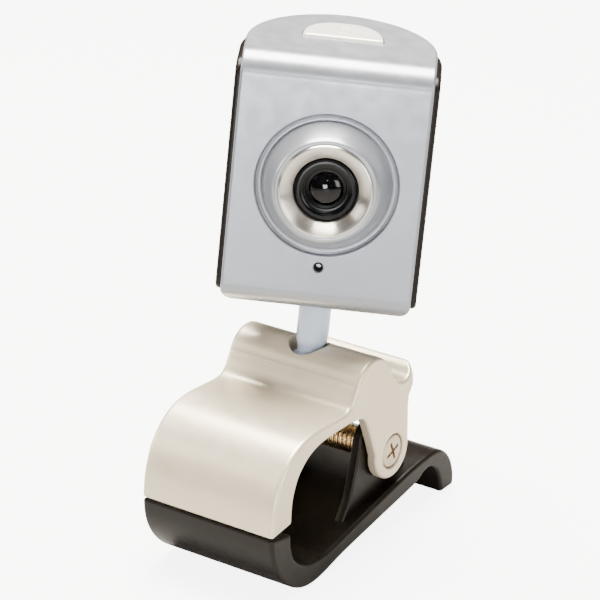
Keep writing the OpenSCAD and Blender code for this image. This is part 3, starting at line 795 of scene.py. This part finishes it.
class WEBCAM_OT_front_shell(Builder, bpy.types.Operator):
    """Pearl band of the head with the raised lens boss, the ring groove and the microphone hole"""

    bl_idname = "webcam.front_shell"
    bl_label = "Front Shell"

    def build(self, sizes, colours):
        half = sizes.head_width / MM / 2
        rim = sizes.band_rim / MM
        height = sizes.boss_height / MM
        outer, inner = side_points(band_side(0)), side_points(band_side(WALL))
        chin = np.clip((BASE_Z + CHIN_CORNER - outer[:, 2]) / CHIN_CORNER, 0, 1)
        width = plan_half(outer[:, 1], half - CHIN_CORNER * (1 - np.sqrt(1 - chin**2)))
        band = strap("front_shell_band", outer, inner,
                     np.column_stack([width, 0 * width, 0 * width]), HEAD_FRAME, rim, 0.2)
        face = (0, -FACE_DEPTH, LENS_HEIGHT)
        well = [(0, -5), (14.1, -5), (14.1, -0.35), (14.25, -0.1), (14.5, 0.02), (14.5, 3), (0, 3)]
        combine(band, lathe("well", well, HEAD_FRAME, face, "lens", 160), "DIFFERENCE")
        dome = smooth_curve([(12.95, -0.75), (12.6, -0.1), (12.3, 0.6), (11.4, 2.65), (10.6, 4.35),
                             (10.2, height - 0.25), (9.9, height - 0.03), (9.6, height)], 6)
        boss = np.vstack([[(8.4, -3.2), (14.4, -3.2), (14.4, -0.9), (14.0, -0.62), (13.6, -0.78),
                           (13.25, -0.85)], dome, [(9.34, height - 0.05), (9.32, height - 0.3),
                                                 (9.32, 1.0), (8.4, 1.0)]])
        combine(band, lathe("boss", boss, HEAD_FRAME, face, "lens", 160), "UNION")
        port = [(0, -6), (0.95, -6), (0.95, -0.35), (1.0, -0.15), (1.2, 0.0), (1.2, 1), (0, 1)]
        port = lathe("port", port, HEAD_FRAME, (0, -FACE_DEPTH, LENS_HEIGHT - MIC_DROP), "lens", 48)
        combine(band, port, "DIFFERENCE")
        slot = pad("slot", button_outline(0.18), HEAD_FRAME, lambda y: 0 * y + 58.0,
                   lambda y: 0 * y + 75.0, 0.05)
        combine(band, slot, "DIFFERENCE")
        neck = [(0, BASE_Z - 3), (4.1, BASE_Z - 3), (4.1, BASE_Z - 0.1), (3.8, BASE_Z + 0.15),
                (3.6, BASE_Z + 0.6), (3.6, BASE_Z + 4), (0, BASE_Z + 4)]
        combine(band, lathe("neck", neck, HEAD_FRAME, segments=72), "DIFFERENCE")
        even = band.modifiers.new("even_faces", "WEIGHTED_NORMAL")
        even.keep_sharp, even.weight = True, 100
        # the head's pearl colour holds painted light: cool and dark for the flash and the shade on the face, over
        # the clip's own pearl plastic
        pearl = moulded("head_pearl_painted_cool_shade", colours.head_pearl_painted_cool_shade, 0.33, 0.35, 0.003, 0.02, 11.0, 0.05,
                        **{"Metallic": 0.6, "Coat Weight": 0.25, "Coat Roughness": 0.15})
        finish_piece(band, "head", "pearl_plastic", pearl, "front_shell")


class WEBCAM_OT_rear_shell(Builder, bpy.types.Operator):
    """Dark shell round the sides and back of the head, with the screw wells and cable inlet"""

    bl_idname = "webcam.rear_shell"
    bl_label = "Rear Shell"

    def build(self, sizes, colours):
        half = sizes.head_width / MM / 2
        grow = sizes.cheek / MM

        def plan(g):
            a, b = half + g, BACK_Y - PLAN_MID + g
            front = -FACE_DEPTH + sizes.cheek / MM
            side = np.linspace(front, PLAN_MID, 36)[:-1]
            turn = np.radians(np.linspace(0, 180, 97))
            return np.vstack([
                np.column_stack([np.full(35, a), side]),
                np.column_stack([a * np.cos(turn), PLAN_MID + b * np.sin(turn)]),
                np.column_stack([np.full(35, -a), side[::-1]])])

        outer, inner = plan(grow), plan(grow - WALL)
        y = (outer[:, 1] + inner[:, 1]) / 2
        round_off = 3.0
        near = np.clip((outer[0, 1] + round_off - y) / round_off, 0, 1)
        drawn = round_off * (1 - np.sqrt(1 - near**2))
        low = BASE_Z + WALL + 0.02 + drawn
        high = roof(y) - WALL - 0.1 - drawn
        middle, reach = (low + high) / 2, (high - low) / 2
        shell = strap("rear_shell_wall", np.column_stack([outer, middle]),
                      np.column_stack([inner, middle]), np.column_stack([0 * y, 0 * y, reach]),
                      HEAD_FRAME, 0.75, 0.2, (0.7, 0.7))
        for at in CASE_SCREWS:
            well = [(0, -40), (1.95, -40), (1.95, WELL_FLOOR), (0, WELL_FLOOR)]
            combine(shell, lathe("well", well, HEAD_FRAME, at, "lens", 32), "DIFFERENCE")
        inlet = lathe("inlet", [(0, -30), (2.6, -30), (2.6, -8), (0, -8)], HEAD_FRAME,
                      (0, 0, INLET_Z), "lens", 48)
        combine(shell, inlet, "DIFFERENCE")
        for at in CASE_SCREWS:
            post = [(1.0, WELL_FLOOR), (2.1, WELL_FLOOR), (2.1, -2.5), (1.0, -2.5)]
            combine(shell, lathe("post", post, HEAD_FRAME, at, "lens", 32), "UNION")
        finish_piece(shell, "head", "dark_plastic", dark_plastic(colours), "rear_shell")


class WEBCAM_OT_button(Builder, bpy.types.Operator):
    """Snapshot button: a soft-edged pad that follows the sloping top, on its stem"""

    bl_idname = "webcam.button"
    bl_label = "Snapshot Button"

    def build(self, sizes, colours):
        cap = pad("snapshot_button_cap", button_outline(0.0), HEAD_FRAME,
                  lambda y: roof(y) - 2.2, lambda y: roof(y) + 0.48, 0.55)
        stem = lathe("stem", [(0, 61.5), (1.0, 61.5), (1.2, 61.7), (1.2, 66.5), (0, 66.5)],
                     HEAD_FRAME, (0, 3.2, 0), segments=48)
        combine(cap, stem, "UNION")
        turn = np.linspace(0, 2 * math.pi, 65)
        ring = np.column_stack([1.5 * np.cos(turn), 4.0 + 1.5 * np.sin(turn), 0 * turn])
        ring[:, 2] = roof(ring[:, 1]) + 0.42
        combine(cap, tube("ring", ring[:-1], 0.16, HEAD_FRAME, 10, closed=True), "UNION")
        finish = moulded("button_satin", colours.button_pearl, 0.3, 0.3, 0.003, 0.02, 5.0, 0.04,
                         **{"Metallic": 0.2, "Coat Weight": 0.4, "Coat Roughness": 0.12})
        finish_piece(cap, "button", "button_plastic", finish, "snapshot_button")


class WEBCAM_OT_lens(Builder, bpy.types.Operator):
    """Bright bezel, black barrel with its front rim, and the domed front lens"""

    bl_idname = "webcam.lens"
    bl_label = "Lens"

    def build(self, sizes, colours):
        height = sizes.boss_height / MM
        face = (0, -FACE_DEPTH, LENS_HEIGHT)
        bezel = [(9.3, height - 4), (9.3, height + 0.1), (9.15, height + 0.32),
                 (8.9, height + 0.44), (8.65, height + 0.36), (8.4, height + 0.22),
                 (6.55, height - 1.28), (6.45, height - 1.5), (6.45, height - 4)]
        piece = lathe("lens_bezel_ring", bezel, HEAD_FRAME, face, "lens", 192, 28.0)
        bright = turned_metal("bright_turned", colours.bezel, 0.3, 0.05, 0.0006,
                              **{"Anisotropic": 0.85, "Anisotropic Rotation": 0.25})
        finish_piece(piece, "head", "bright_bezel", bright, "lens_bezel")

        rim = arc((5.55, 3.05), 0.55, 0, 90, 8)
        barrel = np.vstack([[(3.45, -6.2), (5.2, -6.2), (5.2, 0.6), (6.1, 0.9), (6.1, 2.2)], rim,
                            [(5.25, 3.6), (5.05, 3.45), (4.95, 3.0), (4.75, 2.9), (4.55, 2.85),
                             (4.45, 2.6), (4.1, 2.55), (3.95, 2.3), (3.45, 2.2)]])
        piece = lathe("lens_barrel_ring", barrel, HEAD_FRAME, face, "lens", 160, 28.0)
        black = moulded("barrel_black", (0.002, 0.002, 0.0025), 0.2, 0.12, 0.002, 0.1, 3.0,
                        **{"Specular IOR Level": 0.22})
        finish_piece(piece, "focus_ring", "black_plastic", black, "lens_barrel")

        crown = np.radians(np.linspace(0, 90, 25))
        dome = [(3.4 * math.cos(a), 2 + 1.35 * math.sin(a)) for a in crown]
        back = [(0, 0.2), (1.2, 0.26), (2.4, 0.42), (3.4, 0.6)]
        piece = lathe("front_lens_dome", back + dome, HEAD_FRAME, face, "lens", 128, 50.0)
        finish_piece(piece, "lens_cell", "coated_glass", coated_glass(), "front_lens")


def coated_glass():
    """Clear, faintly violet glass, made once."""
    ready = bpy.data.materials.get("coated_glass_violet")
    if ready:
        return ready
    material, tree, shader, place_on = start_material(
        "coated_glass_violet", IOR=1.35, **{"Transmission Weight": 1.0})
    at = place_on.outputs["Object"]
    tint = ramp(tree, noise(tree, at, 2.5),
                [(0.3, (0.05, 0.05, 0.07)), (0.7, (0.07, 0.065, 0.09))])
    tree.links.new(tint, shader.inputs["Base Color"])
    tree.links.new(spread(tree, noise(tree, at, 0.8), 0.01, 0.03), shader.inputs["Roughness"])
    return material


class WEBCAM_OT_inner_parts(Builder, bpy.types.Operator):
    """Finishes of the working parts that keep their own shapes"""

    bl_idname = "webcam.inner_parts"
    bl_label = "Inner Parts"

    def build(self, sizes, colours):
        finishes = {
            "nickel_screw": plain_metal("nickel_nut", (0.50, 0.47, 0.42), 0.34),
            "inner_plastic": moulded("inner_grey", (0.05, 0.045, 0.04), 0.5, 0.3, 0.008, 0.08,
                                     4.0),
            "steel_fastener": plain_metal("zinc_steel", (0.46, 0.45, 0.43), 0.32, 0.3),
            "nylon": moulded("natural_nylon", (0.78, 0.76, 0.69), 0.42, 0.4, 0.004, 0.03, 3.0,
                             **{"Subsurface Weight": 0.1}),
            "soft_rubber": moulded("soft_rubber_black", (0.004, 0.004, 0.004), 0.7, 0.18, 0.01,
                                   0.12, 2.0, **{"Specular IOR Level": 0.1}),
            "black_plastic": moulded("holder_black", (0.003, 0.003, 0.003), 0.5, 0.2, 0.006, 0.1,
                                     3.0),
            "coated_glass": coated_glass(),
            "filter_glass": moulded("filter_teal", (0.16, 0.30, 0.28), 0.08, 1.0, 0.0005, 0.05, 4.0,
                                    **{"Coat Weight": 0.6}),
            "sensor_package": moulded("sensor_grey", (0.06, 0.065, 0.06), 0.3, 0.1, 0.003, 0.15,
                                      1.0),
            "board_laminate": moulded("board_green", (0.02, 0.12, 0.045), 0.38, 0.25, 0.008, 0.15,
                                      1.2, **{"Coat Weight": 0.4}),
            "chip_package": moulded("chip_black", (0.02, 0.02, 0.021), 0.5, 0.12, 0.006, 0.1, 2.0),
            "microphone_can": plain_metal("microphone_tin", (0.55, 0.55, 0.53), 0.3),
        }
        slots = {part["node"]: part["material_slot"] for part in frame["record"]["subparts"]}
        for name, node in frame["nodes"].items():
            finish = finishes.get(slots[name])
            if finish is None:
                continue
            node.data.materials.clear()
            node.data.materials.append(finish)


# ------------------------------------------------------------------ stage


def soft_light(name, place_at, look_at, size, power, colour):
    """A square area light that looks at a point."""
    data = bpy.data.lights.new(name, "AREA")
    data.shape, data.size, data.energy, data.color = "SQUARE", size, power, colour
    light = bpy.data.objects.new(name, data)
    light.location = place_at
    light.rotation_euler = (Vector(look_at) - Vector(place_at)).to_track_quat("-Z", "Y").to_euler()
    bpy.context.scene.collection.objects.link(light)


# The floor's half size, and how bright the camera alone sees it
FLOOR_HALF, FLOOR_GLOW = 3.0, 6.0
SKY_STRENGTH = 0.16

# Each light's name, place, the point it looks at, size, power and colour
LIGHTS = [
    ("overhead", (-0.10, 0.10, 0.75), (0, 0, 0.08), 0.5, 46.0, (1.0, 0.96, 0.87)),
    ("window", (0.47, -0.90, 0.16), (0, 0, 0.09), 0.2, 4.0, (0.95, 0.98, 1.0)),
    ("left", (-0.75, -0.50, 0.40), (0, 0, 0.04), 0.4, 5.0, (1.0, 0.95, 0.86)),
    ("right", (0.85, -0.20, 0.30), (0, 0, 0.05), 0.4, 5.0, (1.0, 0.97, 0.93)),
    ("flash", (0.33, -0.50, 0.36), (0, 0, 0.07), 0.03, 0.5, (1.0, 1.0, 1.0)),
]

# The camera's place, the point it looks at, and its focal length and sensor in millimetres
EYE, TARGET = Vector((0.29798, -0.43139, 0.28506)), Vector((-0.01145, 0.01186, 0.04433))
FOCAL_LENGTH, SENSOR = 171.91, 36.0


class WEBCAM_OT_stage(Builder, bpy.types.Operator):
    """Pale floor, soft lights and the camera"""

    bl_idname = "webcam.stage"
    bl_label = "Stage"

    def build(self, sizes, colours):
        span = np.linspace(-FLOOR_HALF, FLOOR_HALF, 9)
        x, y = np.meshgrid(span, span, indexing="ij")
        points = np.stack([x, y, 0 * x - 0.0001], -1).reshape(-1, 3)
        mesh = bpy.data.meshes.new("floor")
        mesh.from_pydata(points.tolist(), [], grid_faces(9, 9).tolist())
        floor = bpy.data.objects.new("floor", mesh)
        bpy.context.scene.collection.objects.link(floor)
        material, tree, shader, place_on = start_material(
            "floor_white", Roughness=0.8, **{"Emission Color": (1.0, 1.0, 1.0, 1.0)})
        tone = ramp(tree, noise(tree, place_on.outputs["Object"], 400.0),
                    [(0.3, (0.40, 0.39, 0.38)), (0.7, (0.42, 0.41, 0.40))])
        tree.links.new(tone, shader.inputs["Base Color"])
        # the floor looks white, and throws little light up at the object
        rays = tree.nodes.new("ShaderNodeLightPath")
        glow = tree.nodes.new("ShaderNodeMath")
        glow.operation = "MULTIPLY"
        glow.inputs[1].default_value = FLOOR_GLOW
        tree.links.new(rays.outputs["Is Camera Ray"], glow.inputs[0])
        tree.links.new(glow.outputs["Value"], shader.inputs["Emission Strength"])
        mesh.materials.append(material)

        world = bpy.data.worlds.new("studio")
        world.use_nodes = True
        sky = world.node_tree.nodes["Background"]
        sky.inputs["Color"].default_value = (1.0, 1.0, 1.0, 1.0)
        sky.inputs["Strength"].default_value = SKY_STRENGTH
        bpy.context.scene.world = world
        for light in LIGHTS:
            soft_light(*light)

        data = bpy.data.cameras.new("camera")
        data.lens, data.sensor_width = FOCAL_LENGTH, SENSOR
        data.clip_start, data.clip_end = 0.01, 20.0
        camera = bpy.data.objects.new("camera", data)
        camera.location = EYE
        camera.rotation_euler = (TARGET - EYE).to_track_quat("-Z", "Y").to_euler()
        bpy.context.scene.collection.objects.link(camera)
        bpy.context.scene.camera = camera


# ------------------------------------------------------------------ add-on

BUILDERS = (
    WEBCAM_OT_upper_jaw, WEBCAM_OT_lower_jaw, WEBCAM_OT_pivot, WEBCAM_OT_stalk,
    WEBCAM_OT_front_shell, WEBCAM_OT_rear_shell, WEBCAM_OT_button, WEBCAM_OT_lens,
    WEBCAM_OT_inner_parts, WEBCAM_OT_stage,
)


class WEBCAM_PT_sidebar(bpy.types.Panel):
    """The builders and their settings"""

    bl_idname = "WEBCAM_PT_sidebar"
    bl_label = "Clip Webcam"
    bl_space_type = "VIEW_3D"
    bl_region_type = "UI"
    bl_category = "Webcam"

    def draw(self, context):
        for group in (context.scene.webcam_sizes, context.scene.webcam_colours):
            for name in group.__annotations__:
                self.layout.prop(group, name)
        for builder in BUILDERS:
            self.layout.operator(builder.bl_idname)


CLASSES = (WebcamSizes, WebcamColours, *BUILDERS, WEBCAM_PT_sidebar)


def register():
    for cls in CLASSES:
        bpy.utils.register_class(cls)
    bpy.types.Scene.webcam_sizes = PointerProperty(type=WebcamSizes)
    bpy.types.Scene.webcam_colours = PointerProperty(type=WebcamColours)


def unregister():
    del bpy.types.Scene.webcam_colours
    del bpy.types.Scene.webcam_sizes
    for cls in reversed(CLASSES):
        bpy.utils.unregister_class(cls)


def main():
    register()
    for builder in BUILDERS:
        group, name = builder.bl_idname.split(".")
        getattr(getattr(bpy.ops, group), name)()


if __name__ == "__main__":
    main()
